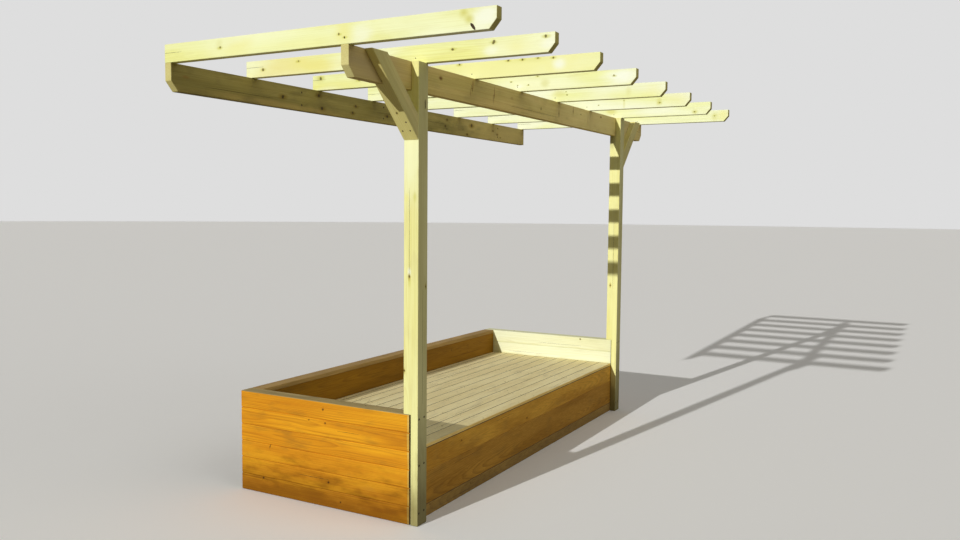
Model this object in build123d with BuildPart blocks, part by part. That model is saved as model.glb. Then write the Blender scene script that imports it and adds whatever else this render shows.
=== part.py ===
import os

from build123d import *

os.makedirs("parts", exist_ok=True)

# Wooden pergola over a raised deck. Millimetres, +Z up, ground at Z = 0.
# X runs along the beams, near end at -X. Y runs from the open front at -Y to the back at +Y.
# The origin is the middle of the bounding box's bottom.

# Posts
post_size = 90
post_height = 2425

# Beams and rafters
beam_length = 4200
beam_depth = 145
beam_thick = 45
near_overhang = 520  # beam past the near post
far_overhang = 570  # beam past the far post
rafter_count = 8
rafter_length = 1965
rafter_depth = 95
rafter_thick = 45
front_overhang = 720  # rafter in front of the posts

# Sloping cuts under the ends: run along the piece, rise up the piece
beam_cut_run = 46
beam_cut_rise = 52
rafter_cut_run = 36
rafter_cut_rise = 42

# Braces
brace_size = 90
brace_reach = 400  # lower edge, out from the post and down from its top

# Box of the deck
course_count = 6
course_height = 99
end_gap = 8  # between an end timber and the post's notch, at the outer face
end_gap_depth = 45  # how far in from the outer face the gap closes
front_heights = (68, 182, 130)  # lowest board first
board_thick = 28  # front and back boards
deck_thick = 18
deck_top = sum(front_heights) + deck_thick
deck_inset = 4  # deck's front edge behind the front boards' face
deck_count = 12
deck_last = 0.45  # width of the board at the back, as a share of the others'
deck_gap = 3
deck_ease = 2
joist_count = 5
joist_depth = 145
joist_thick = 45
cap_thick = 28
edge_ease = 3

# Places worked out from the sizes above
x_near = -beam_length / 2
x_far = beam_length / 2
near_post_x = x_near + near_overhang
far_post_x = x_far - far_overhang - post_size
y_front = -rafter_length / 2
y_back = rafter_length / 2
post_y = y_front + front_overhang
lap_y = post_y + post_size / 2  # mid-depth of the posts, where every notch stops
beam_z = post_height - beam_depth
wall_height = course_count * course_height
inner_near_x = near_post_x + post_size
inner_far_x = far_post_x
wall_y = y_back - post_size  # inner face of the back boards
rafter_pitch = (beam_length - rafter_thick) / (rafter_count - 1)


def save(part, label):
    part.label = label
    export_step(part, f"parts/{label}.step")


# Posts: full section with two notches cut from the back half, one at the top for the beam
# and one at the foot for the end timbers of the deck box.
def make_post(post_x):
    with BuildPart() as post:
        with BuildSketch(Plane.XY):
            with Locations((post_x + post_size / 2, post_y + post_size / 2)):
                Rectangle(post_size, post_size)
        extrude(amount=post_height)
        upright = post.edges().filter_by(Axis.Z)
        chamfer(upright, edge_ease)
        with BuildSketch(Plane.XY.offset(beam_z)):
            with Locations((post_x + post_size / 2, lap_y + post_size / 4)):
                Rectangle(post_size, post_size / 2)
        extrude(amount=beam_depth, mode=Mode.SUBTRACT)
        with BuildSketch(Plane.XY):
            with Locations((post_x + post_size / 2, lap_y + post_size / 4)):
                Rectangle(post_size, post_size / 2)
        extrude(amount=wall_height, mode=Mode.SUBTRACT)
    return post.part


# Long beams: square at the ends, then the lower corner sloped off on each side named.
def make_beam(face_y, sloped_sides):
    with BuildPart() as beam:
        with BuildSketch(Plane.XZ.offset(-face_y)):
            with Locations(((x_near + x_far) / 2, beam_z + beam_depth / 2)):
                Rectangle(beam_length, beam_depth)
            for side in sloped_sides:
                end_x = x_near if side < 0 else x_far
                with BuildLine():
                    Polyline(
                        (end_x, beam_z),
                        (end_x - side * beam_cut_run, beam_z),
                        (end_x, beam_z + beam_cut_rise),
                        close=True,
                    )
                make_face(mode=Mode.SUBTRACT)
        extrude(amount=-beam_thick)
    return beam.part


# Braces: square stock at 45 degrees, level at the top, with the back half cut away
# so that the front half laps over the beam's face.
def make_brace(post_face_x, side):
    band = brace_size * 2**0.5
    with BuildPart() as brace:
        with BuildSketch(Plane.XZ.offset(-post_y)):
            with BuildLine():
                Polyline(
                    (post_face_x, post_height - brace_reach),
                    (post_face_x, post_height - brace_reach + band),
                    (post_face_x + side * (brace_reach - band), post_height),
                    (post_face_x + side * brace_reach, post_height),
                    close=True,
                )
            make_face()
        extrude(amount=-brace_size)
        with BuildSketch(Plane.XY.offset(beam_z)):
            with Locations((post_face_x + side * brace_reach / 2, lap_y + beam_thick / 2)):
                Rectangle(brace_reach * 2, beam_thick)
        extrude(amount=beam_depth, mode=Mode.SUBTRACT)
    return brace.part


# Rafters: on edge across both beams, front end sloped off below.
def make_rafter(near_x):
    low = post_height
    with BuildPart() as rafter:
        with BuildSketch(Plane.YZ.offset(near_x)):
            with BuildLine():
                Polyline(
                    (y_front, low + rafter_depth),
                    (y_back, low + rafter_depth),
                    (y_back, low),
                    (y_front + rafter_cut_run, low),
                    (y_front, low + rafter_cut_rise),
                    close=True,
                )
            make_face()
        extrude(amount=rafter_thick)
    return rafter.part


# Straight boards lying in a box between two corners.
def make_board(low, high, eased_axis, ease=edge_ease):
    size = [b - a for a, b in zip(low, high)]
    middle = [(a + b) / 2 for a, b in zip(low, high)]
    with BuildPart() as board:
        with BuildSketch(Plane.XY.offset(low[2])):
            with Locations((middle[0], middle[1])):
                Rectangle(size[0], size[1])
        extrude(amount=size[2])
        chamfer(board.edges().filter_by(eased_axis), ease)
    return board.part


# End timbers: as thick as the posts, with the end at the post sawn out of square, so that
# it seats in the notch on the inner side and leaves a narrow gap at the outer face.
def make_end_timber(outer_x, inward, low_z):
    inner_x = outer_x + inward * post_size
    with BuildPart() as timber:
        with BuildSketch(Plane.XY.offset(low_z)):
            with BuildLine():
                Polyline(
                    (outer_x, y_back),
                    (outer_x, lap_y + end_gap),
                    (outer_x + inward * end_gap_depth, lap_y),
                    (inner_x, lap_y),
                    (inner_x, y_back),
                    close=True,
                )
            make_face()
        extrude(amount=course_height)
        chamfer(timber.edges().filter_by(Axis.Y), edge_ease)
    return timber.part


save(make_post(near_post_x), "near_post")
save(make_post(far_post_x), "far_post")
save(make_beam(lap_y, (-1, 1)), "front_beam")
save(make_beam(y_back - beam_thick, (-1,)), "wall_beam")
save(make_brace(near_post_x, -1), "near_brace")
save(make_brace(far_post_x + post_size, 1), "far_brace")

for i in range(rafter_count):
    save(make_rafter(x_near + i * rafter_pitch), f"rafter_{i + 1}")

# End walls of the box: stacked timbers.
for i in range(course_count):
    low_z = i * course_height
    save(make_end_timber(near_post_x, 1, low_z), f"near_end_timber_{i + 1}")
    save(make_end_timber(far_post_x + post_size, -1, low_z), f"far_end_timber_{i + 1}")

# Front boards, set back to the posts' mid-depth.
front_z = 0
for i, height in enumerate(front_heights):
    low = (inner_near_x, lap_y, front_z)
    high = (inner_far_x, lap_y + board_thick, front_z + height)
    save(make_board(low, high, Axis.X), f"front_board_{i + 1}")
    front_z += height

# Back boards and their cap.
back_tops = (front_heights[0] + front_heights[1] / 2, deck_top, wall_height - cap_thick)
back_z = 0
for i, top_z in enumerate(back_tops):
    low = (inner_near_x, wall_y, back_z)
    high = (inner_far_x, wall_y + board_thick, top_z)
    save(make_board(low, high, Axis.X), f"back_board_{i + 1}")
    back_z = top_z
cap = make_board((inner_near_x, wall_y, back_z), (inner_far_x, y_back, wall_height), Axis.X)
save(cap, "back_cap")

# Joists under the deck, from the front boards to the back boards.
joist_top = deck_top - deck_thick
joist_pitch = (inner_far_x - inner_near_x - joist_thick) / (joist_count - 1)
front_y = lap_y + board_thick
for i in range(joist_count):
    low_x = inner_near_x + i * joist_pitch
    low = (low_x, front_y, joist_top - joist_depth)
    high = (low_x + joist_thick, wall_y, joist_top)
    save(make_board(low, high, Axis.Y), f"joist_{i + 1}")

# Deck boards lengthways, over the front boards and the joists, with equal gaps.
deck_y = lap_y + deck_inset
deck_width = (wall_y - deck_y - deck_gap * deck_count) / (deck_count - 1 + deck_last)
for i in range(deck_count):
    low_y = deck_y + i * (deck_width + deck_gap)
    high_y = min(low_y + deck_width, wall_y - deck_gap)
    low = (inner_near_x, low_y, joist_top)
    high = (inner_far_x, high_y, deck_top)
    save(make_board(low, high, Axis.X, deck_ease), f"deck_board_{i + 1}")
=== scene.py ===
import math
import random

import bmesh
import bpy
from mathutils import Matrix, Vector


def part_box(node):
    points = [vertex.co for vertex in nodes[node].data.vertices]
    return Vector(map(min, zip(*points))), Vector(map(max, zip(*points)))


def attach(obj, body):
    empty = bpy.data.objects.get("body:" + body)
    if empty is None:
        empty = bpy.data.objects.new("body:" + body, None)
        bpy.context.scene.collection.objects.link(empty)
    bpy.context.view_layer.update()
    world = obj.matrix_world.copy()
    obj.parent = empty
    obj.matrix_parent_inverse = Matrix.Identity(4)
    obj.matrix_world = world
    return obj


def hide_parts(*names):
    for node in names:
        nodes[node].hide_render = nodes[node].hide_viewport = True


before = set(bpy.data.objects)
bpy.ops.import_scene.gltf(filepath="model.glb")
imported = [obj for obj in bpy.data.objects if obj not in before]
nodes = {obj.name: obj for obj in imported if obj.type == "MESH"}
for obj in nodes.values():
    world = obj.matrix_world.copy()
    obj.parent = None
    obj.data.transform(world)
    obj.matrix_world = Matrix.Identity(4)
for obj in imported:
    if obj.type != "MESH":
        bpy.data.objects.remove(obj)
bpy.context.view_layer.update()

print("pergola: frame loaded with", len(nodes), "nodes")


# Small helpers for modelling

def clearSelection():
    if bpy.context.object and bpy.context.object.mode != "OBJECT":
        bpy.ops.object.mode_set(mode="OBJECT")
    bpy.ops.object.select_all(action="DESELECT")


def pick(piece):
    clearSelection()
    piece.select_set(True)
    bpy.context.view_layer.objects.active = piece


def addBlock(name, low, high):
    clearSelection()
    middle = [(a + b) / 2 for a, b in zip(low, high)]
    bpy.ops.mesh.primitive_cube_add(size=1, location=middle)
    block = bpy.context.object
    block.name = name
    block.scale = [b - a for a, b in zip(low, high)]
    bpy.ops.object.transform_apply(location=True, rotation=True, scale=True)
    return block


def sawOff(piece, point, normal, remove=True):  # without remove it only leaves an edge along the plane
    pick(piece)
    bpy.ops.object.mode_set(mode="EDIT")
    bpy.ops.mesh.select_all(action="SELECT")
    bpy.ops.mesh.bisect(plane_co=point, plane_no=normal, use_fill=remove, clear_outer=remove)
    bpy.ops.object.mode_set(mode="OBJECT")


def roughen(reach, seed):  # moves the points of the active piece a little
    bpy.ops.object.mode_set(mode="EDIT")
    bpy.ops.transform.vertex_random(offset=reach, seed=seed)
    bpy.ops.object.mode_set(mode="OBJECT")


def facing(outward):  # turns a shape that looks up so that it looks outward
    return Vector(outward).to_track_quat("Z", "Y").to_matrix().to_4x4()


def joinAll(pieces):
    pick(pieces[0])
    for piece in pieces[1:]:
        piece.select_set(True)
    if len(pieces) > 1:
        bpy.ops.object.join()
    return bpy.context.object


def cutAway(piece, cutters):  # takes the cutters' shapes out of the piece and removes them
    if not cutters:
        return
    cutter = joinAll(cutters)
    pick(piece)
    cut = piece.modifiers.new("cut", "BOOLEAN")
    cut.operation = "DIFFERENCE"
    cut.solver = "EXACT"
    cut.use_self = True
    cut.object = cutter
    bpy.ops.object.modifier_apply(modifier=cut.name)
    bpy.data.objects.remove(cutter, do_unlink=True)


sameWay, sameLevel = 0.999, 0.0001  # a face this near to an old one's plane is part of it


def carve(piece, cutters):  # cuts cracks and holes, and marks the faces that are new
    mesh = piece.data
    planes = [(face.normal.copy(), face.center.copy()) for face in mesh.polygons]
    cutAway(piece, cutters)
    inside = mesh.attributes.new("inside", "BOOLEAN", "FACE")
    for face, mark in zip(mesh.polygons, inside.data):
        corner, way = mesh.vertices[face.vertices[0]].co, face.normal
        mark.value = not any(normal.dot(way) > sameWay and abs(normal.dot(corner - middle)) < sameLevel
                             for normal, middle in planes)


flatAngle, sharpAngle = 0.01, 0.4  # radians


def easeEdges(piece, width, segments=3):  # rounds the outward edges only, so the notches stay crisp
    mesh = piece.data
    work = bmesh.new()
    work.from_mesh(mesh)
    bmesh.ops.dissolve_limit(work, angle_limit=flatAngle, verts=work.verts, edges=work.edges)
    layers = work.edges.layers.float
    weights = layers.get("bevel_weight_edge") or layers.new("bevel_weight_edge")
    for edge in work.edges:
        sharp = edge.is_manifold and edge.is_convex and edge.calc_face_angle(0) > sharpAngle
        edge[weights] = float(sharp)
    work.to_mesh(mesh)
    work.free()
    pick(piece)
    ease = piece.modifiers.new("ease", "BEVEL")
    ease.width = width
    ease.segments = segments
    ease.limit_method = "WEIGHT"
    bpy.ops.object.modifier_apply(modifier=ease.name)


def smoothOver(piece):
    pick(piece)
    bpy.ops.object.shade_smooth_by_angle(angle=math.radians(40))
    weigh = piece.modifiers.new("weigh", "WEIGHTED_NORMAL")
    weigh.keep_sharp = True
    bpy.ops.object.modifier_apply(modifier=weigh.name)


# Helpers for materials and their node trees

def newMaterial(name):
    material = bpy.data.materials.new(name)
    material.use_nodes = True
    tree = material.node_tree
    return material, tree, tree.nodes["Principled BSDF"]


def feed(tree, node, values):  # values by the socket's name or number
    for key, value in values.items():
        if isinstance(value, bpy.types.NodeSocket):
            tree.links.new(value, node.inputs[key])
        else:
            node.inputs[key].default_value = value


def coordinates(tree, kind="Object"):
    return tree.nodes.new("ShaderNodeTexCoord").outputs[kind]


def maths(tree, operation, *values):
    node = tree.nodes.new("ShaderNodeMath")
    node.operation = operation
    feed(tree, node, dict(enumerate(values)))
    return node.outputs[0]


def vectorMaths(tree, operation, *values, output="Vector"):
    node = tree.nodes.new("ShaderNodeVectorMath")
    node.operation = operation
    feed(tree, node, dict(enumerate(values)))
    return node.outputs[output]


def lengthOf(tree, vector):
    return vectorMaths(tree, "LENGTH", vector, output="Value")


def stretched(tree, vector, along, across):
    return vectorMaths(tree, "MULTIPLY", vector, (along, across, across))


def noise(tree, vector, scale=1.0, detail=2.0, roughness=0.5, output=0):
    node = tree.nodes.new("ShaderNodeTexNoise")
    feed(tree, node, {"Vector": vector, "Scale": scale, "Detail": detail, "Roughness": roughness})
    return node.outputs[output]


def wobble(tree, vector, along, across, shiftAlong, shiftAcross):  # a noise, as a shift to either side
    shift = noise(tree, stretched(tree, vector, along, across), output=1)
    shift = vectorMaths(tree, "SUBTRACT", shift, (0.5, 0.5, 0.5))
    return stretched(tree, shift, shiftAlong, shiftAcross)


def sway(tree, value, uneven, reach):  # moves a value up and down with a noise
    return maths(tree, "MULTIPLY_ADD", maths(tree, "SUBTRACT", uneven, 0.5), reach, value)


def spread(tree, value, low, high, outLow=0.0, outHigh=1.0):  # a soft step between two values
    node = tree.nodes.new("ShaderNodeMapRange")
    node.interpolation_type = "SMOOTHSTEP"
    feed(tree, node, dict(enumerate((value, low, high, outLow, outHigh))))
    return node.outputs[0]


def linear(red, green, blue):  # a colour as seen on a screen, 0 to 255
    parts = [v / 255 for v in (red, green, blue)]
    return tuple(v / 12.92 if v <= 0.04045 else ((v + 0.055) / 1.055) ** 2.4 for v in parts) + (1.0,)


def blendColour(tree, factor, first, second, kind="MIX"):  # each colour is a socket, or a tone from 0 to 255
    node = tree.nodes.new("ShaderNodeMix")
    node.data_type = "RGBA"
    node.blend_type = kind
    first, second = (linear(*tone) if isinstance(tone, tuple) else tone for tone in (first, second))
    feed(tree, node, {0: factor, 6: first, 7: second})
    return node.outputs[2]


def ramp(tree, value, stops):
    node = tree.nodes.new("ShaderNodeValToRGB")
    tree.links.new(value, node.inputs[0])
    line = node.color_ramp.elements
    while len(line) < len(stops):
        line.new(0.5)
    for element, (place, tone) in zip(line, stops):
        element.position = place
        element.color = (tone, tone, tone, 1)
    return node.outputs[0]


def newGroup(name, vectors, numbers, outputs):
    tree = bpy.data.node_groups.new(name, "ShaderNodeTree")
    for label in vectors:
        tree.interface.new_socket(label, in_out="INPUT", socket_type="NodeSocketVector")
    for label, value in numbers.items():
        tree.interface.new_socket(label, in_out="INPUT", socket_type="NodeSocketFloat").default_value = value
    for label in outputs:
        tree.interface.new_socket(label, in_out="OUTPUT", socket_type="NodeSocketFloat")
    start = tree.nodes.new("NodeGroupInput")
    end = tree.nodes.new("NodeGroupOutput")
    return tree, start.outputs, end.inputs


def useGroup(tree, group, values):
    node = tree.nodes.new("ShaderNodeGroup")
    node.node_tree = group
    feed(tree, node, values)
    return node.outputs


# One branch in the timber: how far a point lies from it, in branch radii

noBranch = 50.0  # the distance where there is none


def makeBranchGroup():
    numbers = {"Radius": 0.01, "Reach": noBranch}
    tree, start, end = newGroup("branchReach", ["Grain", "Centre", "Direction"], numbers, ["Reach"])
    offset = vectorMaths(tree, "SUBTRACT", start["Grain"], start["Centre"])
    onLine = vectorMaths(tree, "PROJECT", offset, start["Direction"])
    distance = lengthOf(tree, vectorMaths(tree, "SUBTRACT", offset, onLine))
    inRadii = maths(tree, "DIVIDE", distance, start["Radius"])
    tree.links.new(maths(tree, "MINIMUM", inRadii, start["Reach"]), end["Reach"])
    return tree


# Growth rings, fibres and broad tones, from the place in the log

ringProfile = [(0.0, 0.1), (0.45, 0.18), (0.86, 1.0), (0.97, 0.1)]
grainNoises = {  # scale along and across the grain, detail and roughness
    "Fibre": (2.4, 240.0, 3.0, 0.6), "Tone": (1.1, 9.0, 2.0, 0.5),
    "Patch": (5.0, 16.0, 3.0, 0.55), "Pore": (30.0, 1100.0, 2.0, 0.6),
}


def makeGrainGroup():
    numbers = {"Reach": noBranch, "Ring width": 0.0045}
    tree, start, end = newGroup("grainField", ["Grain"], numbers, ["Ring", *grainNoises])
    grain = start["Grain"]
    bend = wobble(tree, grain, 0.9, 3.0, 0.0, 0.05)
    bent = vectorMaths(tree, "ADD", stretched(tree, grain, 0.0, 1.0), bend)
    around = spread(tree, start["Reach"], 0.8, 4.0, 0.008, 0.0)  # rings run round a branch
    rings = maths(tree, "DIVIDE", maths(tree, "ADD", lengthOf(tree, bent), around), start["Ring width"])
    uneven = noise(tree, stretched(tree, grain, 0.4, 24.0), roughness=0.6)
    phase = maths(tree, "MULTIPLY_ADD", uneven, 1.6, rings)
    tree.links.new(ramp(tree, maths(tree, "FRACT", phase), ringProfile), end["Ring"])
    for label, (along, across, detail, roughness) in grainNoises.items():
        value = noise(tree, stretched(tree, grain, along, across), 1.0, detail, roughness)
        tree.links.new(value, end[label])
    return tree


branchGroup = makeBranchGroup()
grainGroup = makeGrainGroup()


# The finishes: the tones of light and dark wood in a ring, of broad patches and of weathered wood, then what
# differs from plainFinish. ring is the width of one ring in metres; rings, worn and streak are strengths.

plainFinish = {"ring": 0.0048, "rings": 0.4, "worn": 0.3, "rough": 0.66, "streak": 0.34, "gloss": 0.3,
               "tail": (206, 188, 120)}
finishes = {
    "post": ([(248, 247, 176), (224, 212, 132), (240, 237, 160), (204, 194, 132)], {
        "ring": 0.0042, "rings": 0.38, "worn": 0.25, "rough": 0.62, "grimeTop": 0.42}),
    # the post's wood again, darker: painted shade on the faces towards the front
    "postFrontShade": ([(209, 204, 146), (182, 168, 102), (198, 192, 132), (164, 154, 104)], {
        "ring": 0.0042, "rings": 0.2, "worn": 0.25, "grimeTop": 0.75, "streak": 0.16}),
    "beam": ([(232, 210, 130), (192, 160, 84), (214, 198, 116), (152, 136, 82)], {
        "ring": 0.004, "rings": 0.5, "rough": 0.64}),
    "beamEnd": ([(238, 232, 166), (206, 190, 114), (228, 220, 150), (196, 186, 132)], {
        "ring": 0.004, "rough": 0.72}),
    "wallBeam": ([(190, 176, 100), (138, 118, 54), (158, 147, 78), (106, 96, 52)], {
        "ring": 0.004, "rings": 0.6, "worn": 0.5, "rough": 0.68}),
    "brace": ([(250, 243, 166), (218, 198, 116), (236, 228, 150), (192, 178, 118)], {
        "ring": 0.0042, "rings": 0.5, "rough": 0.62}),
    # the brace's wood again, darker: painted shade on the faces towards the front
    "braceFrontShade": ([(212, 200, 134), (184, 164, 98), (198, 188, 122), (156, 144, 96)], {
        "ring": 0.0042, "rings": 0.2, "streak": 0.16}),
    "rafter": ([(243, 249, 188), (224, 218, 134), (240, 241, 154), (212, 208, 134)], {
        "ring": 0.0046, "rings": 0.36, "worn": 0.18, "rough": 0.6, "fresh": (248, 251, 212),
        "tail": (226, 224, 166)}),
    "paleRafter": ([(245, 250, 206), (230, 228, 154), (241, 245, 176), (222, 218, 156)], {
        "ring": 0.0046, "rings": 0.3, "worn": 0.16, "rough": 0.6, "fresh": (246, 249, 226),
        "tail": (230, 229, 178)}),
    "rafterEnd": ([(212, 204, 124), (174, 160, 86), (198, 190, 108), (156, 146, 86)], {
        "ring": 0.0046, "rough": 0.74}),
    "endTimber": ([(240, 243, 210), (222, 216, 166), (236, 237, 194), (204, 200, 154)], {"worn": 0.2}),
    "rawStrip": ([(236, 200, 98), (206, 158, 56), (222, 182, 76), (186, 150, 70)], {
        "rough": 0.68, "grimeTop": 0.3}),
    # dark end grain for the ends at the posts: painted shade in the gap there
    "timberEnd": ([(92, 76, 40), (66, 52, 26), (80, 64, 32), (58, 48, 28)], {"rough": 0.8}),
    "stainedWall": ([(247, 179, 36), (186, 120, 26), (228, 156, 30), (144, 102, 36)], {
        "ring": 0.005, "rings": 0.6, "worn": 0.4, "rough": 0.58, "grimeTop": 0.3, "gloss": 0.1}),
    # weathered grey-brown top, darkened further as painted shade
    "wallTop": ([(190, 170, 114), (146, 124, 74), (170, 150, 96), (122, 106, 68)], {
        "rings": 0.5, "worn": 0.5, "rough": 0.74}),
    "upperBoard": ([(230, 178, 70), (172, 122, 42), (202, 150, 54), (146, 110, 54)], {
        "ring": 0.008, "rings": 0.45, "rough": 0.56, "gloss": 0.1}),
    "middleBoard": ([(200, 150, 60), (148, 104, 38), (176, 128, 46), (124, 95, 46)], {
        "ring": 0.008, "rings": 0.65, "worn": 0.35, "rough": 0.56, "gloss": 0.1}),
    "lowestBoard": ([(174, 140, 74), (128, 98, 54), (152, 122, 66), (108, 90, 64)], {
        "ring": 0.005, "rings": 0.45, "worn": 0.4, "rough": 0.64, "gloss": 0.1}),
    "backBoard": ([(158, 112, 20), (116, 78, 12), (140, 98, 17), (98, 72, 18)], {
        "ring": 0.005, "rings": 0.5, "rough": 0.58, "gloss": 0.1}),
    # the first deck board's front edge: its tan tone, lightened as a painted highlight
    "edgeToneAndHighlight": ([(252, 226, 142), (226, 188, 106), (244, 212, 126), (204, 172, 106)], {
        "ring": 0.005, "worn": 0.4, "rough": 0.68}),
    "cap": ([(186, 152, 88), (140, 108, 56), (164, 132, 72), (122, 100, 60)], {
        "rings": 0.5, "worn": 0.5, "rough": 0.72}),
    "joist": ([(206, 188, 132), (160, 136, 80), (186, 170, 116), (140, 126, 90)], {
        "rings": 0.5, "worn": 0.4, "rough": 0.78}),
    "deckBoard": ([(250, 238, 188), (218, 200, 144), (240, 225, 172), (196, 182, 138)], {
        "ring": 0.005, "worn": 0.45, "rough": 0.74}),
}
knotTones = {"heart": (116, 106, 64), "rim": (72, 66, 38), "halo": (222, 208, 140)}
# the tone that darkens wood towards the ground: splashed dirt, and painted shade near the ground
dirtAndShadeTone = (112, 96, 62)
endKinds = {"beam": "beamEnd", "wallBeam": "beamEnd", "rafter": "rafterEnd", "paleRafter": "rafterEnd",
            "endTimber": "timberEnd"}

# Soft patches of another tone, on one face of a piece: the two places across that face, the reach along the
# grain and across it, the tone and its share
white, olive, yellow, brown = (247, 250, 226), (212, 208, 106), (238, 232, 128), (148, 102, 42)
# Most patches are the wood's own tone; the far post's patch and the front beam's patch at x 1.7 are painted
# shade
toneAndShadePatches = {
    "far_post": ("x", 1.44, [
        # painted shade on the far post's near face, below the beam and brace
        (-0.185, 2.27, 0.1, 0.045, (138, 130, 84), 0.8)]),
    "near_post": ("x", -1.58, [
        (-0.215, 1.93, 0.26, 0.12, (246, 249, 200), 0.7), (-0.208, 1.348, 0.03, 0.014, white, 0.9),
        (-0.208, 1.296, 0.03, 0.01, olive, 0.5), (-0.24, 1.735, 0.03, 0.014, olive, 0.6),
        (-0.19, 1.73, 0.03, 0.016, yellow, 0.5)]),
    "front_beam": ("y", -0.2175, [
        # of the two patches on the next line, the one at x 1.7 is painted shade on the beam between the far
        # post and its brace
        (-1.9, 2.36, 0.34, 0.12, (186, 166, 116), 0.85), (1.7, 2.37, 0.22, 0.12, (150, 138, 96), 0.8),
        (1.0, 2.35, 1.3, 0.3, (244, 226, 152), 0.5), (-1.293, 2.378, 0.022, 0.014, brown, 0.8),
        (-0.94, 2.384, 0.009, 0.034, brown, 0.7), (-0.966, 2.336, 0.01, 0.034, brown, 0.6),
        (-0.674, 2.374, 0.007, 0.034, brown, 0.7), (-0.688, 2.336, 0.008, 0.03, brown, 0.6),
        (-0.44, 2.368, 0.022, 0.012, brown, 0.35), (0.292, 2.347, 0.007, 0.03, brown, 0.8),
        (0.552, 2.39, 0.008, 0.036, brown, 0.6), (1.108, 2.398, 0.016, 0.01, brown, 0.7)]),
    "wall_beam": ("y", 0.9375, [
        (1.7, 2.35, 1.1, 0.3, (228, 204, 126), 0.6), (-1.3, 2.296, 0.75, 0.024, (214, 184, 110), 0.45),
        (-2.0, 2.363, 0.03, 0.01, brown, 0.5)]),
    "rafter_1": ("x", -2.1, [
        (0.3, 2.47, 0.7, 0.1, (248, 252, 190), 0.5), (-0.6, 2.48, 0.4, 0.08, (248, 252, 208), 0.5),
        (-0.93, 2.485, 0.085, 0.07, white, 0.9), (-0.824, 2.504, 0.03, 0.026, olive, 0.8),
        (-0.85, 2.474, 0.026, 0.026, olive, 0.8), (-0.29, 2.464, 0.07, 0.05, white, 0.5),
        (-0.19, 2.48, 0.06, 0.05, yellow, 0.6), (0.48, 2.47, 0.12, 0.05, yellow, 0.45),
        (0.59, 2.488, 0.03, 0.03, olive, 0.3)]),
    "rafter_2": ("x", -1.506, [
        (0.65, 2.47, 0.36, 0.08, (236, 226, 142), 0.8), (-0.95, 2.465, 0.05, 0.04, white, 0.7),
        (-0.64, 2.458, 0.045, 0.03, white, 0.55), (-0.78, 2.47, 0.08, 0.05, yellow, 0.35),
        (0.48, 2.47, 0.18, 0.06, yellow, 0.4)]),
    "rafter_3": ("x", -0.913, [
        (-0.45, 2.47, 0.7, 0.12, (241, 239, 158), 0.85), (-0.745, 2.472, 0.045, 0.035, white, 0.9),
        (-0.56, 2.512, 0.16, 0.02, olive, 0.25), (0.62, 2.476, 0.06, 0.03, olive, 0.4),
        (0.925, 2.5, 0.05, 0.03, olive, 0.5)]),
    "rafter_4": ("x", -0.319, [
        (-0.9, 2.475, 0.13, 0.06, white, 1.0), (-0.385, 2.466, 0.034, 0.028, olive, 0.45),
        (-0.205, 2.456, 0.04, 0.02, white, 0.7)]),
    "rafter_5": ("x", 0.274, [
        (-0.225, 2.482, 0.06, 0.03, olive, 0.5), (-0.73, 2.47, 0.026, 0.04, olive, 0.35),
        (-0.9, 2.47, 0.1, 0.05, yellow, 0.35)]),
    "rafter_6": ("x", 0.868, [
        (-0.758, 2.464, 0.024, 0.03, olive, 0.6), (-0.49, 2.475, 0.01, 0.05, olive, 0.4),
        (-0.9, 2.47, 0.1, 0.05, yellow, 0.35)]),
    "rafter_7": ("x", 1.461, [
        (-0.17, 2.478, 0.05, 0.03, olive, 0.6), (-0.862, 2.447, 0.028, 0.02, olive, 0.6)]),
    "rafter_8": ("x", 2.055, [
        (-0.872, 2.472, 0.032, 0.04, olive, 0.5), (-0.94, 2.48, 0.05, 0.05, yellow, 0.5)]),
}


def addPatch(tree, grain, uneven, colour, softPatch, kind="MIX"):
    centre, reachOut, tone, share = softPatch
    offset = vectorMaths(tree, "DIVIDE", vectorMaths(tree, "SUBTRACT", grain, centre), reachOut)
    distance = sway(tree, lengthOf(tree, offset), uneven, 1.4)
    return blendColour(tree, spread(tree, distance, 0.1, 1.3, share, 0.0), colour, tone, kind)


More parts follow.
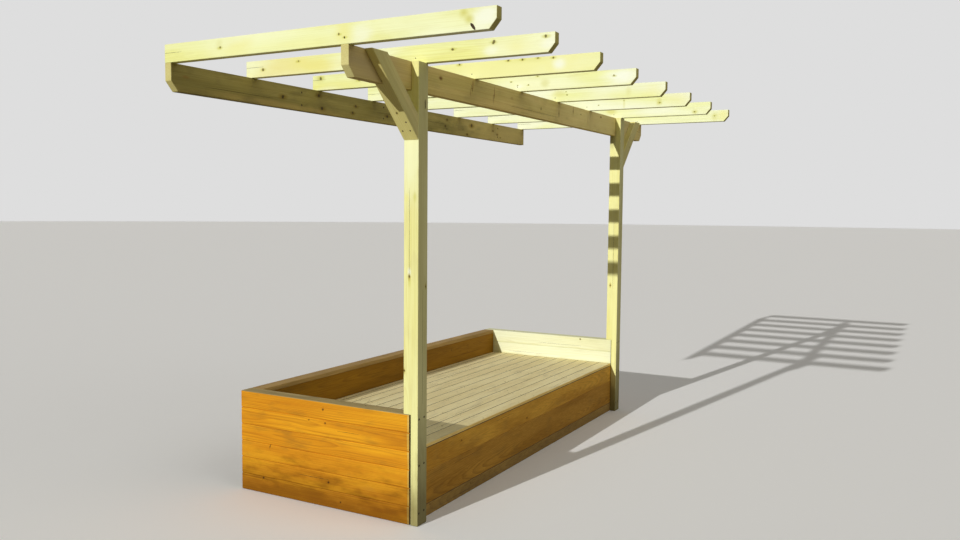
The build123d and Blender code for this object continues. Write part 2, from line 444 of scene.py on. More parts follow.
def makeWood(name, kind, branches=(), patches=(), endGrain=False, fromObject=False):
    (pale, late, tint, weather), own = finishes[kind]
    finish = {**plainFinish, **own}
    material, tree, shader = newMaterial(name)
    if fromObject:
        turn = tree.nodes.new("ShaderNodeMapping")
        feed(tree, turn, {"Vector": coordinates(tree), "Rotation": (0, 0, math.radians(-90))})
        grain = turn.outputs[0]
    else:
        source = tree.nodes.new("ShaderNodeAttribute")
        source.attribute_name = "grainAt"
        grain = source.outputs["Vector"]

    shaken = grain  # uneven edges, then a slow bend, for the branches
    for along, across, reachOut in ((38.0, 60.0, 0.007), (9.0, 16.0, 0.022)):
        shaken = vectorMaths(tree, "ADD", shaken, wobble(tree, grain, along, across, reachOut, reachOut))
    reach = noBranch
    for centre, direction, radius in branches:
        values = {"Grain": shaken, "Centre": centre, "Direction": direction, "Radius": radius, "Reach": reach}
        reach = useGroup(tree, branchGroup, values)["Reach"]
    field = useGroup(tree, grainGroup, {"Grain": grain, "Reach": reach, "Ring width": finish["ring"]})
    ring, fibre, tone, patch, pore = (field[k] for k in ("Ring", "Fibre", "Tone", "Patch", "Pore"))

    colour = blendColour(tree, spread(tree, tone, 0.38, 0.62), pale, tint)
    ringShare = finish["rings"] * (1.3 if endGrain else 1.0)
    colour = blendColour(tree, maths(tree, "MULTIPLY", ring, ringShare), colour, late)
    streak = spread(tree, fibre, 0.3, 0.75, 0.0, finish["streak"])
    colour = blendColour(tree, streak, colour, late, "MULTIPLY")
    colour = blendColour(tree, spread(tree, patch, 0.5, 0.75, 0.0, finish["worn"]), colour, weather)
    if "fresh" in finish:
        pales = noise(tree, stretched(tree, grain, 1.9, 7.0), detail=1.0)
        colour = blendColour(tree, spread(tree, pales, 0.4, 0.68, 0.0, 0.65), colour, finish["fresh"])
    for softPatch in patches:
        colour = addPatch(tree, grain, patch, colour, softPatch)
    if endGrain:
        colour = blendColour(tree, 0.25, colour, weather, "MULTIPLY")
    height = maths(tree, "MULTIPLY", ring, 0.35)
    for part, share in ((fibre, 0.5), (pore, 0.25)):
        height = maths(tree, "MULTIPLY_ADD", part, share, height)

    for centre, direction, radius in branches:  # darker grain drawn out to both sides of a knot
        tail = (centre, (radius * 5, radius * 2, radius * 2), finish["tail"], 0.9)
        colour = addPatch(tree, grain, patch, colour, tail, "MULTIPLY")
    if branches:
        halo = spread(tree, reach, 1.0, 2.6, 0.4, 0.0)
        colour = blendColour(tree, halo, colour, knotTones["halo"], "MULTIPLY")
        heart = spread(tree, reach, 0.9, 1.1, 1.0, 0.0)
        dark = maths(tree, "MULTIPLY", heart, 0.85)
        colour = blendColour(tree, dark, colour, knotTones["heart"], "MULTIPLY")
        outer = spread(tree, reach, 0.98, 1.3, 1.0, 0.0)
        rim = maths(tree, "MULTIPLY", spread(tree, reach, 0.62, 0.95), outer)
        colour = blendColour(tree, maths(tree, "MULTIPLY", rim, 0.8), colour, knotTones["rim"])
        for part, share in ((heart, 0.6), (rim, -0.9)):
            height = maths(tree, "MULTIPLY_ADD", part, share, height)
    if "grimeTop" in finish:  # darker towards the ground: splashed dirt, and painted shade near the ground
        axes = tree.nodes.new("ShaderNodeSeparateXYZ")
        tree.links.new(coordinates(tree), axes.inputs[0])
        rise = sway(tree, axes.outputs["Z"], patch, 0.5)
        dirtAndShade = spread(tree, rise, 0.0, finish["grimeTop"], 0.75, 0.0)
        colour = blendColour(tree, dirtAndShade, colour, dirtAndShadeTone, "MULTIPLY")
    bump = tree.nodes.new("ShaderNodeBump")
    feed(tree, bump, {"Strength": 0.55 if endGrain else 0.4, "Distance": 0.0012, "Height": height})
    rough = spread(tree, fibre, 0.2, 0.8, finish["rough"] - 0.07, finish["rough"] + 0.12)
    feed(tree, shader, {"Base Color": colour, "Roughness": rough, "Specular IOR Level": finish["gloss"],
                        "Normal": bump.outputs[0]})
    return material


endWoods = {}


def endWood(kind):
    if kind not in endWoods:
        endWoods[kind] = makeWood(kind + "EndGrain", endKinds.get(kind, kind), endGrain=True)
    return endWoods[kind]


# The log a timber was sawn from: its length runs along axis, and the pith lies off the middle of the section

pithRange = (0.03, 0.08)
branchSpan = (0.15, 0.85)  # the part of a timber where chance branches lie


def logOf(name, axis, middle, lean=(0, 0, 0)):  # lean: sawn slightly off the grain
    dice = random.Random(name)
    along = (Vector(axis).normalized() + Vector(lean)).normalized()
    side = Vector((0, 0, 1)).cross(along)
    if side.length < 0.1:
        side = Vector((1, 0, 0))
    side.normalize()
    rise = along.cross(side)
    turn = Matrix((along, side, rise))
    angle = dice.uniform(0, 2 * math.pi)
    off = dice.uniform(*pithRange)
    pith = Vector((0, off * math.cos(angle), off * math.sin(angle)))
    start = turn @ Vector(middle) + pith
    shift = Vector((dice.uniform(3, 40), 0, 0)) - start
    return {"turn": turn, "shift": shift, "dice": dice}


def toLog(log, point):
    return log["turn"] @ Vector(point) + log["shift"]


def branchAt(log, point, direction, radius):  # a branch through a point of the row frame
    heading = (log["turn"] @ Vector(direction)).normalized()
    return (tuple(toLog(log, point)), tuple(heading), radius)


def chanceBranches(log, low, high, count, radii, square=None):  # square: a face that they all run square to
    dice = log["dice"]
    found = []
    for i in range(count):
        point = [a + (b - a) * dice.uniform(*branchSpan) for a, b in zip(low, high)]
        side, rise = (1, 0.2) if dice.random() < 0.5 else (0.2, 1)  # near square to a face, for round knots
        heading = log["turn"].transposed() @ Vector((dice.uniform(-0.2, 0.2), side, rise))
        found.append(branchAt(log, point, square or heading, dice.uniform(*radii)))
    return found


def patchesOf(log, node):
    if node not in toneAndShadePatches:
        return []
    axis, level, rows = toneAndShadePatches[node]
    found = []
    for first, second, along, across, tone, share in rows:
        place = (level, first, second) if axis == "x" else (first, level, second)
        found.append((tuple(toLog(log, place)), (along, across, across), tone, share))
    return found


# Slots on a timber: its own wood, its end grain, the dark flecks in its cracks and holes (dirt, and painted
# shade in the hollows), then any others
wood, endGrainSlot, dirtAndShadeSlot = 0, 1, 2


def moveFaces(piece, direction, least, fromSlot, toSlot):  # faces that look one way go to another slot
    for face in piece.data.polygons:
        if face.material_index == fromSlot and face.normal.dot(direction) > least:
            face.material_index = toSlot


def facesAlong(piece, direction, kind, branches, least=0.9):  # gives faces that look one way their own finish
    piece.data.materials.append(makeWood(piece.name + kind, kind, branches))
    moveFaces(piece, direction, least, wood, len(piece.data.materials) - 1)


def makeFlecked(name, scale, dark, light):
    material, tree, shader = newMaterial(name)
    flecks = spread(tree, noise(tree, coordinates(tree), scale, 3.0, 0.6), 0.35, 0.7)
    feed(tree, shader, {"Base Color": blendColour(tree, flecks, dark, light), "Roughness": 0.9})
    return material


crackDirtAndShade = makeFlecked("crackDirtAndShade", 160.0, (44, 34, 18), (78, 60, 32))  # dark flecks inside cracks and screw holes: dirt, and painted shade in these hollows


def dressTimber(piece, node, kind, log, branches):
    mesh = piece.data
    grain = mesh.attributes.new("grainAt", "FLOAT_VECTOR", "POINT")
    for vertex, value in zip(mesh.vertices, grain.data):
        value.vector = toLog(log, vertex.co)
    along = log["turn"][0]
    mesh.materials.clear()
    mesh.materials.append(makeWood(piece.name + "Pine", kind, branches, patchesOf(log, node)))
    mesh.materials.append(endWood(kind))
    mesh.materials.append(crackDirtAndShade)
    for face, inside in zip(mesh.polygons, mesh.attributes["inside"].data):
        acrossGrain = abs(face.normal.dot(along)) > 0.5
        face.material_index = dirtAndShadeSlot if inside.value else endGrainSlot if acrossGrain else wood
    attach(piece, "root")
    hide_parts(node)


# Cutters for drying cracks, dents and sunk screws

# A crack is a row of thin shapes, each about one run long. wander and rough are in widths, overlap is in runs
crackMake = {"run": 0.22, "wander": 1.6, "turn": 0.006, "overlap": 0.62, "rough": 0.22}


def addCrack(point, along, outward, length, width, depth, seed):
    dice = random.Random(seed)
    along = Vector(along).normalized()
    outward = Vector(outward).normalized()
    across = outward.cross(along)
    runs = max(1, round(length / crackMake["run"]))
    run = length / runs
    parts = []
    for i in range(runs):
        aside = across * dice.uniform(-1, 1) * width * crackMake["wander"]
        middle = Vector(point) + along * ((i + 0.5) * run - length / 2) + aside
        heading = (along + across * dice.uniform(-crackMake["turn"], crackMake["turn"])).normalized()
        clearSelection()
        bpy.ops.mesh.primitive_uv_sphere_add(segments=8, ring_count=18, radius=1)
        part = bpy.context.object
        side = outward.cross(heading).normalized()
        shape = Matrix((side * width / 2, heading.cross(side) * depth, heading * run * crackMake["overlap"]))
        part.data.transform(Matrix.Translation(middle) @ shape.transposed().to_4x4())
        roughen(width * crackMake["rough"], dice.randrange(10000))
        parts.append(part)
    return parts


dentRough = 0.16  # of its smaller width


def addDent(point, outward, size, depth, seed, lean=0):  # a pocket or a torn place
    clearSelection()
    bpy.ops.mesh.primitive_ico_sphere_add(subdivisions=3, radius=1)
    dent = bpy.context.object
    turn = facing(Vector(outward).normalized()) @ Matrix.Rotation(math.radians(lean), 4, "Z")
    dent.data.transform(Matrix.Translation(point) @ turn @ Matrix.Diagonal((size[0], size[1], depth, 1)))
    roughen(min(size) * dentRough, seed)
    return [dent]


screwMake = {"head": 0.0052, "headThick": 0.003, "edge": 0.0004, "recess": (0.0028, 0.0006, 0.002),
             "recessTurn": 20, "hole": 0.0062, "taper": 0.2, "sunk": 0.0024, "depth": 0.005}


def addScrewHole(point, outward, size):
    clearSelection()
    radius = screwMake["hole"] * size
    narrow, wide = radius * (1 - screwMake["taper"]), radius * (1 + screwMake["taper"])
    bpy.ops.mesh.primitive_cone_add(vertices=20, radius1=narrow, radius2=wide, depth=screwMake["depth"] * 2)
    hole = bpy.context.object
    hole.data.transform(Matrix.Translation(point) @ facing(outward))
    return hole


def makeScrewShape():
    clearSelection()
    head, thick = screwMake["head"], screwMake["headThick"]
    bpy.ops.mesh.primitive_cylinder_add(vertices=24, radius=head, depth=thick, location=(0, 0, -thick / 2))
    shape = bpy.context.object
    bpy.ops.object.transform_apply(location=True, rotation=True, scale=True)
    recess = Vector(screwMake["recess"])
    for turn in (0, 90):  # the cross recess
        bar = addBlock("bar", -recess, recess)
        bar.data.transform(Matrix.Rotation(math.radians(turn + screwMake["recessTurn"]), 4, "Z"))
        cutAway(shape, [bar])
    easeEdges(shape, screwMake["edge"], 2)
    smoothOver(shape)
    steel, tree, shader = newMaterial("dullZinc")
    spots = noise(tree, coordinates(tree), 900.0, 3.0, 0.6)
    feed(tree, shader, {"Base Color": blendColour(tree, spots, (70, 62, 46), (118, 108, 86)),
                        "Roughness": spread(tree, spots, 0.2, 0.8, 0.38, 0.62), "Metallic": 0.85})
    shape.data.materials.append(steel)
    return shape


screwShape = makeScrewShape()


def driveScrews(name, places, size):  # the heads sit just below the wood
    if not places:
        return
    dice = random.Random(name)
    copies = []
    for point, outward in places:
        copy = screwShape.copy()
        copy.data = screwShape.data.copy()
        bpy.context.scene.collection.objects.link(copy)
        spin = Matrix.Rotation(dice.uniform(0, math.pi), 4, "Z")
        sunk = Matrix.Translation(Vector(point) - Vector(outward) * screwMake["sunk"])
        copy.data.transform(sunk @ facing(outward) @ spin @ Matrix.Diagonal((size, size, 1, 1)))
        copies.append(copy)
    screws = joinAll(copies)
    screws.name = name + "_screws"
    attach(screws, "root")


# What all timbers have in common

toFront, toNear, upward = (0, -1, 0), (-1, 0, 0), (0, 0, 1)


def startTimber(node):
    low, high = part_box(node)
    return addBlock(node + "_wood", low, high), low, high


def workTimber(piece, node, cutters, screws=(), screwSize=1.0):  # screws are (point, outward) pairs
    carve(piece, [addScrewHole(*screw, screwSize) for screw in screws] + cutters)
    smoothOver(piece)
    driveScrews(node, screws, screwSize)


# Posts: square stock with the back half cut away for the beam and for the end timbers

postTimber = {"edge": 0.004, "screwHeights": (0.577, 0.329, 0.073), "nearInset": 0.014, "farInset": 0.028,
              "drop": 0.004}
clearance = 0.02  # how far a cutting block runs past the timber

# Rows start with the face's direction, the place across it and the height. Cracks add length, width and
# depth, branches add heading and radius
posts = {
    "near_post": {
        "cracks": [(toNear, -0.208, 1.55, 0.42, 0.0016, 0.012),
                   (toFront, -1.522, 2.212, 0.040, 0.0075, 0.012),
                   (toFront, -1.535, 0.95, 0.55, 0.0014, 0.010)],
        "branches": [(toNear, -0.207, 1.323, (1, 0.1, 0.1), 0.005),
                     (toNear, -0.177, 0.826, (1, 0.2, 0.1), 0.005),
                     (toFront, -1.508, 1.269, (0.1, 1, 0.1), 0.004)]},
    "far_post": {
        "cracks": [(toNear, -0.22, 1.3, 0.5, 0.0016, 0.010), (toFront, 1.49, 1.7, 0.4, 0.0014, 0.010)],
        "branches": [(toNear, -0.2, 1.05, (1, 0.2, 0), 0.005)]},
}


def makePost(node, setup):
    post, low, high = startTimber(node)
    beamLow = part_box("front_beam")[0]
    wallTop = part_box("near_end_timber_6")[1].z
    lowX, highX, highY = low.x - clearance, high.x + clearance, high.y + clearance
    topNotch = addBlock("notch", (lowX, beamLow.y, beamLow.z), (highX, highY, high.z + clearance))
    footNotch = addBlock("notch", (lowX, beamLow.y, low.z - clearance), (highX, highY, wallTop))
    cutAway(post, [topNotch, footNotch])
    easeEdges(post, postTimber["edge"])
    screws = []
    for height in postTimber["screwHeights"]:
        screws.append(((low.x + postTimber["nearInset"], low.y, height - postTimber["drop"]), toFront))
        screws.append(((high.x - postTimber["farInset"], low.y, height), toFront))

    def onFace(outward, across, z):  # a point on the near or the front face
        return (low.x, across, z) if outward[0] else (across, low.y, z)

    cutters = []
    for i, (outward, across, z, length, width, depth) in enumerate(setup["cracks"]):
        cutters += addCrack(onFace(outward, across, z), upward, outward, length, width, depth, node + str(i))
    workTimber(post, node, cutters, screws)
    log = logOf(node, upward, (low + high) / 2)
    found = [branchAt(log, onFace(*place), heading, radius) for *place, heading, radius in setup["branches"]]
    dressTimber(post, node, "post", log, found)
    # the front faces get the darker copy of the post's wood: painted shade
    facesAlong(post, Vector(toFront), "postFrontShade", found)


for node, setup in posts.items():
    makePost(node, setup)
print("posts made")


# Beams: on edge, with the lower corners sloped off

beamTimber = {"edge": 0.003, "slopeRun": 0.046, "slopeRise": 0.052, "screwHeights": (2.393, 2.315),
              "crackDepth": 0.010, "tearWidth": 0.005, "tearDepth": 0.004}
# Rows start with x and z on the front face. Cracks add length, width and seed, branches heading and radius
beams = {
    "front_beam": {
        "finish": "beam", "slopedSides": (-1, 1), "screwsAt": (), "tears": (),
        "cracks": [(-0.1, 2.318, 0.7, 0.0014, "front1"), (1.9, 2.36, 0.3, 0.0016, "front2")],
        "branches": [
            (-1.293, 2.378, (0, 1, 0.25), 0.004), (-0.950, 2.366, (-0.38, 0.15, 1), 0.0026),
            (-0.680, 2.356, (-0.14, 0.12, 1), 0.0022), (-0.006, 2.347, (0.22, 0.3, 1), 0.0034),
            (0.292, 2.347, (0, 0.25, 1), 0.0022), (0.545, 2.385, (-0.14, 0.14, 1), 0.0020),
            (0.700, 2.378, (1, 0.4, 0.2), 0.002), (1.108, 2.398, (0, 1, 0.4), 0.0035)]},
    "wall_beam": {
        "finish": "wallBeam", "slopedSides": (-1,), "screwsAt": (-1.073, -0.19, 0.69, 1.568),
        "tears": ((2.068, 0.016), (2.025, 0.022), (1.972, 0.013)),
        "cracks": [(0.2, 2.352, 0.9, 0.0016, "wall1"), (-1.6, 2.33, 0.5, 0.0014, "wall2")],
        "branches": [
            (-1.245, 2.346, (0.1, 1, 0.1), 0.009), (-0.908, 2.393, (0, 1, 0.2), 0.008),
            (-0.872, 2.314, (0, 1, -0.1), 0.009), (-0.517, 2.365, (0, 1, 0), 0.007),
            (-0.552, 2.316, (0, 1, 0), 0.007), (-0.145, 2.334, (0, 1, 0.1), 0.008),
            (0.690, 2.385, (0, 1, 0.3), 0.006), (0.665, 2.336, (0, 1, 0), 0.007),
            (1.095, 2.373, (0, 1, 0.1), 0.011), (1.480, 2.362, (0, 1, 0), 0.006),
            (1.560, 2.337, (0, 1, 0.4), 0.006), (1.620, 2.312, (1, 1, 0), 0.004),
            (1.020, 2.296, (0.3, 1, 0), 0.007)]},
}


def makeBeam(node, setup):
    beam, low, high = startTimber(node)
    run, rise = beamTimber["slopeRun"], beamTimber["slopeRise"]
    for side in setup["slopedSides"]:
        endX = low.x if side < 0 else high.x
        sawOff(beam, (endX, low.y, low.z + rise), (side * rise, 0, -run))
    easeEdges(beam, beamTimber["edge"])
    cutters = []
    for x, z, length, width, seed in setup["cracks"]:
        cutters += addCrack((x, low.y, z), (1, 0, 0), toFront, length, width, beamTimber["crackDepth"], seed)
    for x, length in setup["tears"]:  # torn lower edge at the square end
        size = (beamTimber["tearWidth"], length)
        cutters += addDent((x, low.y, low.z), (0, -1, -1), size, beamTimber["tearDepth"], round(x * 100))
    screws = [((x, low.y, z), toFront) for x in setup["screwsAt"] for z in beamTimber["screwHeights"]]
    workTimber(beam, node, cutters, screws)
    log = logOf(node, (1, 0, 0), (low + high) / 2)
    found = [branchAt(log, (x, low.y, z), way, radius) for x, z, way, radius in setup["branches"]]
    dressTimber(beam, node, setup["finish"], log, found)


for node, setup in beams.items():
    makeBeam(node, setup)
print("beams made")


# Braces: square stock at 45 degrees, with the back half cut away so that it laps over the beam

braceTimber = {"edge": 0.004, "screwRise": 0.044, "screwPitch": 0.039, "screwInset": 0.022, "screwSize": 0.75}


def makeBrace(node, side):
    low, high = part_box(node)
    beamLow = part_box("front_beam")[0]
    face = high.x if side < 0 else low.x  # where it meets the post
    size = high.y - low.y
    reach = high.x - low.x
    run = reach - size * math.sqrt(0.5)
    clearSelection()
    middle = (face + side * run / 2, (low.y + high.y) / 2, high.z - run / 2)
    bpy.ops.mesh.primitive_cube_add(size=1, location=middle, rotation=(0, math.radians(-45 * side), 0))
    brace = bpy.context.object
    brace.name = node + "_wood"
    brace.scale = (reach * 2.2, size, size)
    bpy.ops.object.transform_apply(location=True, rotation=True, scale=True)
    sawOff(brace, (face, 0, 0), (-side, 0, 0))
    sawOff(brace, (0, 0, high.z), upward)
    lap = addBlock("lap", (low.x - clearance, beamLow.y, beamLow.z),
                   (high.x + clearance, high.y + clearance, high.z + clearance))
    cutAway(brace, [lap])
    easeEdges(brace, braceTimber["edge"])
    slope = Vector((side, 0, -1)).normalized()  # square to the lower face
    rise, inset = braceTimber["screwRise"], braceTimber["screwInset"]
    upper = rise + braceTimber["screwPitch"]
    screws = [
        ((face + side * rise, low.y + inset, low.z + rise), slope),
        ((face + side * rise, high.y - inset, low.z + rise), slope),
        ((face + side * upper, low.y + inset, low.z + upper), slope),
    ]
    workTimber(brace, node, [], screws, braceTimber["screwSize"])
    log = logOf(node, (side, 0, 1), (low + high) / 2)
    branches = chanceBranches(log, low, high, 2, (0.003, 0.006))
    dressTimber(brace, node, "brace", log, branches)
    # the front faces get the darker copy of the brace's wood: painted shade
    facesAlong(brace, Vector(toFront), "braceFrontShade", branches)


makeBrace("near_brace", -1)
makeBrace("far_brace", 1)
print("braces made")


# Rafters: on edge, front end sloped off below. Branches are (y, z, radius) on the face towards the near end

rafterTimber = {"edge": 0.003, "slopeRun": 0.036, "slopeRise": 0.042, "count": 8, "screwRise": 0.028,
                "screwStep": 0.012, "screwSize": 0.5, "paleFrom": 5}
rearCrack = {"inset": 0.04, "height": 2.47, "rise": 0.006, "length": 0.12, "growth": 0.02,
             "section": (0.0016, 0.010)}  # its width and depth
barkPocket = {"place": (-2.1, -0.869, 2.442), "size": (0.007, 0.019), "depth": 0.007, "lean": 38, "seed": 5}
rafterBranches = {
    1: [(-0.196, 2.456, 0.0035), (-0.165, 2.471, 0.0035), (0.586, 2.470, 0.0045)],
    2: [(-0.935, 2.500, 0.005), (-0.651, 2.496, 0.006), (-0.421, 2.480, 0.005), (0.592, 2.494, 0.0035),
        (0.852, 2.466, 0.006)],
    3: [(-0.708, 2.509, 0.0045), (-0.615, 2.514, 0.004), (-0.520, 2.512, 0.0045), (-0.430, 2.513, 0.0045),
        (-0.110, 2.511, 0.0045), (0.615, 2.470, 0.005), (0.915, 2.500, 0.007)],
    4: [(-0.845, 2.482, 0.0035), (-0.335, 2.512, 0.0028), (-0.270, 2.461, 0.0028), (-0.197, 2.465, 0.0024),
        (-0.150, 2.490, 0.0028)],
    5: [(-0.284, 2.470, 0.0024), (-0.276, 2.490, 0.0024)],
    6: [(-0.760, 2.458, 0.0035), (-0.490, 2.485, 0.0024), (-0.290, 2.462, 0.0028)],
    7: [(-0.862, 2.447, 0.0042)],
    8: [(-0.870, 2.475, 0.0028)],
}


def makeRafter(number):
    node = f"rafter_{number}"
    rafter, low, high = startTimber(node)
    run, rise = rafterTimber["slopeRun"], rafterTimber["slopeRise"]
    sawOff(rafter, (low.x, low.y, low.z + rise), (0, -rise, -run))
    easeEdges(rafter, rafterTimber["edge"])
    screws = []
    for beam in ("front_beam", "wall_beam"):  # screwed down at a slant through both faces
        beamLow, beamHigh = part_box(beam)
        y = (beamLow.y + beamHigh.y) / 2
        if beam == "front_beam":
            screws.append(((low.x, y, low.z + rafterTimber["screwRise"]), toNear))
        screws.append(((high.x, y + rafterTimber["screwStep"], low.z + rafterTimber["screwRise"]), (1, 0, 0)))
    cutters = []
    if number == 1:
        pocket = [barkPocket[k] for k in ("size", "depth", "seed", "lean")]
        cutters += addDent(barkPocket["place"], toNear, *pocket)
    point = (low.x, high.y - rearCrack["inset"], rearCrack["height"] + rearCrack["rise"] * (number % 4))
    length = rearCrack["length"] + rearCrack["growth"] * (number % 3)
    cutters += addCrack(point, (0, 1, 0), toNear, length, *rearCrack["section"], node)
    workTimber(rafter, node, cutters, screws, rafterTimber["screwSize"])
    log = logOf(node, (0, 1, 0), (low + high) / 2)
    found = [branchAt(log, (low.x, y, z), (1, 0.1, 0.12), radius) for y, z, radius in rafterBranches[number]]
    kind = "rafter" if number < rafterTimber["paleFrom"] else "paleRafter"
    dressTimber(rafter, node, kind, log, found)
    if number == 1:  # bark in the pocket
        rafter.data.materials.append(makeFlecked("pocketBark", 420.0, (40, 30, 20), (104, 82, 52)))
        for face in rafter.data.polygons:
            if face.material_index == dirtAndShadeSlot and (face.center - Vector(barkPocket["place"])).length < 0.03:
                face.material_index = dirtAndShadeSlot + 1


for number in range(1, rafterTimber["count"] + 1):
    makeRafter(number)
print("rafters made")


# End walls: stacked timbers with rounded edges, stained on the outer face only

endTimber = {"edge": 0.006, "courses": 6, "gap": 0.0055, "gapDepth": 0.045, "gapSpread": (0.8, 1.4),
             "rawStrip": 0.016, "stripSpread": (0.85, 1.3), "stripLean": 0.05}
timberCracks = {
    "inset": 0.3, "mirror": 0.75,  # mirror is the sum of the two cracks' y
    "inner": ((0.15, 0.4), 0.0013, 0.010),  # range of lengths, width and depth
    "outer": ((0.1, 0.25), 0.0018, 0.008),
}


def makeEndTimber(end, course, outwardX):
    node = f"{end}_end_timber_{course}"
    timber, low, high = startTimber(node)
    dice = random.Random(node)
    gap = endTimber["gap"] * dice.uniform(*endTimber["gapSpread"])
    faceX = low.x if outwardX < 0 else high.x
    sawOff(timber, (faceX, low.y + gap, low.z), (outwardX * gap, -endTimber["gapDepth"], 0))
    easeEdges(timber, endTimber["edge"])
    stripEnd = low.y + endTimber["rawStrip"] * dice.uniform(*endTimber["stripSpread"])
    lean = dice.uniform(-endTimber["stripLean"], endTimber["stripLean"])
    sawOff(timber, (faceX, stripEnd, low.z), (0, 1, lean), remove=False)
    crackY = dice.uniform(low.y + timberCracks["inset"], high.y - timberCracks["inset"])
    crackZ = dice.uniform(low.z + clearance, high.z - clearance)
    cracks = [("inner", low.x + high.x - faceX, timberCracks["mirror"] - crackY, -outwardX, node + "b")]
    if course % 3 == 2:
        cracks.append(("outer", faceX, crackY, outwardX, node))
    cutters = []
    for side, x, y, way, seed in cracks:
        lengths, *section = timberCracks[side]
        cutters += addCrack((x, y, crackZ), (0, 1, 0), (way, 0, 0), dice.uniform(*lengths), *section, seed)
    workTimber(timber, node, cutters)
    log = logOf(node, (0, 1, 0), (low + high) / 2)
    branches = chanceBranches(log, low, high, 2, (0.003, 0.006))
    dressTimber(timber, node, "endTimber", log, branches)
    if end == "near" and course == endTimber["courses"]:
        # the near wall's top: weathered wood, darker than the far wall's top as painted shade
        facesAlong(timber, Vector(upward), "wallTop", branches, 0.5)
    facesAlong(timber, Vector((outwardX, 0, 0)), "stainedWall", branches, 0.15)
    timber.data.materials.append(endWood("beam"))  # the rear ends get plain end grain; the ends at the post keep the dark end tone, painted shade in the gap at the post
    moveFaces(timber, Vector((0, 1, 0)), 0.9, endGrainSlot, len(timber.data.materials) - 1)
    timber.data.materials.append(makeWood(timber.name + "Strip", "rawStrip", branches))
    for face in timber.data.polygons:  # the stain stops short of the post
        if face.material_index > dirtAndShadeSlot and face.center.y < stripEnd and face.normal.z < 0.5:
            face.material_index = len(timber.data.materials) - 1


for course in range(1, endTimber["courses"] + 1):
    makeEndTimber("near", course, -1)
    makeEndTimber("far", course, 1)
print("end walls made")


# Long boards: front, back, cap and deck

plainBoard = {"edge": 0.003, "branches": 1, "cracks": 1, "outward": toFront, "screwSize": 1.0, "lean": 0.02,
              "soiled": ()}  # what a board has unless its family says otherwise
boardFamilies = {
    "front_board": {"slot": "brown_board", "kinds": ("lowestBoard", "middleBoard", "upperBoard"),
                    "screwSize": 0.7, "lean": 0.06},
    "back_board": {"slot": "brown_board", "kinds": ("lowestBoard", "backBoard", "backBoard"), "branches": 2},
    "back_cap": {"slot": "cap", "kinds": ("cap",), "edge": 0.005, "branches": 3, "cracks": 2,
                 "outward": upward},
    "deck_board": {"slot": "deck_board", "kinds": ("deckBoard",) * 12, "edge": 0.002, "outward": upward,
                   "screwSize": 0.6, "soiled": ((0, 1, 0), toFront)},
}
# faces at the joints between boards take the dark crack material: painted shade, with dirt
shadeAndDirtEdges = {"front_board_1": (upward,), "front_board_2": ((0, 0, -1),), "front_board_3": (upward,)}
boardBranches = {
    "front_board_3": [((-1.042, -0.2175, 0.331), (0.1, 1, 0.2), 0.003),
                      ((-0.164, -0.2175, 0.277), (0.5, 1, -0.4), 0.004)],
}
boardScrews = {"shares": (0.16, 0.84), "narrow": 0.06, "stray": 0.003, "along": 0.106, "down": 0.011}
boardCrack = {"endInset": 0.4, "frontInset": 0.015, "topInset": 0.02, "lengths": (0.2, 0.6),
              "section": (0.0013, 0.008)}  # its width and depth
joistCount = 5


def makeBoard(node, family, kind):
    board, low, high = startTimber(node)
    easeEdges(board, family["edge"])
    dice = random.Random(node + "cracks")
    outward = Vector(family["outward"])
    screws = []
    if node.startswith("deck_board"):
        wide = high.y - low.y > boardScrews["narrow"]
        for i in range(joistCount):
            joistLow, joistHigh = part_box(f"joist_{i + 1}")
            for share in boardScrews["shares"] if wide else (0.5,):
                x = (joistLow.x + joistHigh.x) / 2 + dice.uniform(-boardScrews["stray"], boardScrews["stray"])
                screws.append(((x, low.y + (high.y - low.y) * share, high.z), upward))
    elif node == "front_board_1":
        screws.append(((low.x + boardScrews["along"], low.y, high.z - boardScrews["down"]), toFront))
    cutters = []
    endInset, frontInset, topInset = (boardCrack[k] for k in ("endInset", "frontInset", "topInset"))
    for i in range(family["cracks"]):
        x = dice.uniform(low.x + endInset, high.x - endInset)
        if outward.y < 0:
            point = (x, low.y, dice.uniform(low.z + frontInset, high.z - frontInset))
        else:
            point = (x, dice.uniform(low.y + topInset, high.y - topInset), high.z)
        length = dice.uniform(*boardCrack["lengths"])
        cutters += addCrack(point, (1, 0, 0), outward, length, *boardCrack["section"], node + str(i))
    workTimber(board, node, cutters, screws, family["screwSize"])
    log = logOf(node, (1, 0, 0), (low + high) / 2, lean=outward * family["lean"])
    branches = [branchAt(log, *branch) for branch in boardBranches.get(node, ())]
    branches += chanceBranches(log, low, high, family["branches"], (0.0025, 0.005), outward)
    dressTimber(board, node, kind, log, branches)
    if node == "deck_board_1":
        # painted highlight on the rounded front edge of the first deck board, over its tan tone
        facesAlong(board, Vector(toFront), "edgeToneAndHighlight", branches, 0.2)
    for direction in shadeAndDirtEdges.get(node, family["soiled"]):
        moveFaces(board, Vector(direction), 0.3, wood, dirtAndShadeSlot)  # painted shade in the joint, with dark dirt flecks


for label, values in boardFamilies.items():
    family = {**plainBoard, **values}
    for i, kind in enumerate(family["kinds"]):
        makeBoard(f"{label}_{i + 1}" if len(family["kinds"]) > 1 else label, family, kind)
print("boards made")

# Joists stay as they are under the deck, with their own wood
joistWood = makeWood("joistPine", "joist", fromObject=True)
for i in range(joistCount):
    joist = nodes[f"joist_{i + 1}"]
    joist.data.materials.clear()
    joist.data.materials.append(joistWood)

bpy.data.objects.remove(screwShape, do_unlink=True)


# Floor, light and camera

stageSetup = {
    "floorRadius": 90,
    "floorColour": (250, 249, 246),
    "floorReturn": (138, 130, 116),  # what the floor throws back on the object
    "skyColour": (222, 222, 222),
    "skyTint": (1.0, 0.96, 0.88),
    "skyLight": 0.27,
    "skyShade": 0.3,  # share of the sky's light that comes from the key's own side
    "keyStrength": 2.90,
    "keyFrom": (-0.926, 0.156, 0.337),
    "keySoftness": 0.6,
    "fillStrength": 0.68,
    "fillFrom": (0.0, -0.9, 0.4),
    "fillSoftness": 60.0,
}


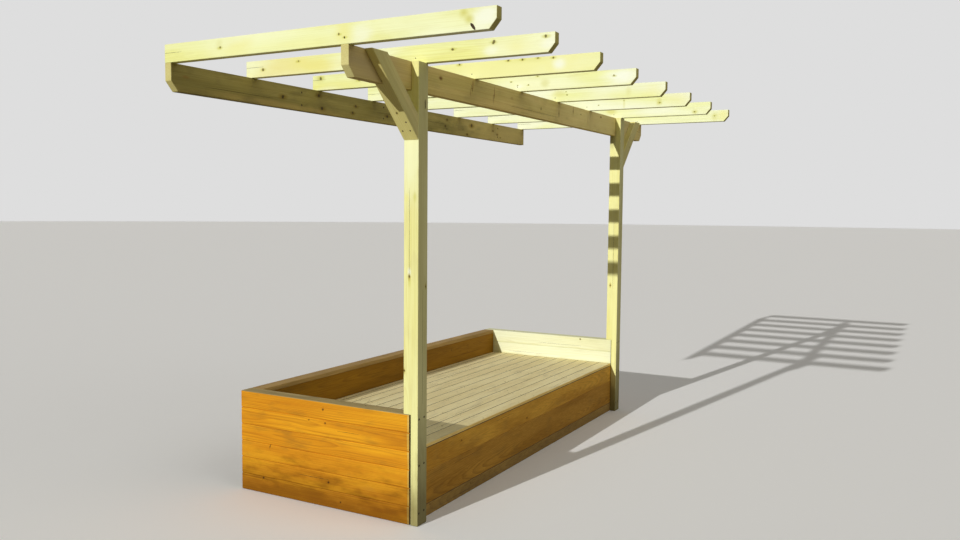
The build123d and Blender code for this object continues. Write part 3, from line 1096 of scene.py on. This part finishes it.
def makeStage():
    clearSelection()
    bpy.ops.mesh.primitive_circle_add(vertices=96, radius=stageSetup["floorRadius"], fill_type="NGON",
                                      location=(0, 0, -0.0005))
    floor = bpy.context.object
    floor.name = "floor"
    material, tree, shader = newMaterial("paleFloor")
    rays = tree.nodes.new("ShaderNodeLightPath")
    seen = rays.outputs["Is Camera Ray"]
    tone = blendColour(tree, seen, stageSetup["floorReturn"], stageSetup["floorColour"])
    feed(tree, shader, {"Base Color": tone, "Roughness": 0.9, "Specular IOR Level": 0.1})
    floor.data.materials.append(material)

    world = bpy.data.worlds.new("studio")
    bpy.context.scene.world = world
    world.use_nodes = True
    tree = world.node_tree
    tree.nodes.clear()
    output = tree.nodes.new("ShaderNodeOutputWorld")
    sides = tree.nodes.new("ShaderNodeSeparateXYZ")
    tree.links.new(coordinates(tree, "Generated"), sides.inputs[0])
    dimmer = spread(tree, sides.outputs["X"], -0.7, 0.3, stageSetup["skyShade"], 1.0)
    strength = maths(tree, "MULTIPLY", dimmer, stageSetup["skyLight"])
    light = tree.nodes.new("ShaderNodeBackground")
    feed(tree, light, {"Color": (*stageSetup["skyTint"], 1), "Strength": strength})
    seen = tree.nodes.new("ShaderNodeBackground")
    feed(tree, seen, {"Color": linear(*stageSetup["skyColour"]), "Strength": 1.0})
    rays = tree.nodes.new("ShaderNodeLightPath").outputs
    shown = maths(tree, "MAXIMUM", rays["Is Camera Ray"], rays["Is Glossy Ray"])
    shown = maths(tree, "MAXIMUM", shown, rays["Is Transmission Ray"])
    mix = tree.nodes.new("ShaderNodeMixShader")
    feed(tree, mix, {0: shown, 1: light.outputs[0], 2: seen.outputs[0]})
    tree.links.new(mix.outputs[0], output.inputs[0])


def addSun(name, heading, strength, softness):  # heading points towards the sun
    clearSelection()
    bpy.ops.object.light_add(type="SUN", rotation=facing(heading).to_euler())
    sun = bpy.context.object
    sun.name = name
    sun.data.energy = strength
    sun.data.angle = math.radians(softness)


makeStage()
addSun("key", stageSetup["keyFrom"], stageSetup["keyStrength"], stageSetup["keySoftness"])
addSun("fill", stageSetup["fillFrom"], stageSetup["fillStrength"], stageSetup["fillSoftness"])

cameraSetup = {"place": (-5.2970, -2.6718, 1.6823), "yaw": 61.18, "pitch": -4.14, "roll": 0.49, "lens": 32.19,
               "sensor": 36, "clip": (0.05, 300)}


def makeCamera():
    clearSelection()
    bpy.ops.object.camera_add()
    camera = bpy.context.object
    camera.name = "camera"
    place = Matrix.Translation(cameraSetup["place"])
    yaw, pitch, roll = (cameraSetup[k] for k in ("yaw", "pitch", "roll"))
    for angle, axis in ((-yaw, "Z"), (90 + pitch, "X"), (roll, "Z")):
        place @= Matrix.Rotation(math.radians(angle), 4, axis)
    camera.matrix_world = place
    camera.data.sensor_width = cameraSetup["sensor"]
    camera.data.lens = cameraSetup["lens"]
    camera.data.clip_start, camera.data.clip_end = cameraSetup["clip"]
    bpy.context.scene.camera = camera


makeCamera()
bpy.context.scene.view_settings.view_transform = "Standard"
print("stage, light and camera set")
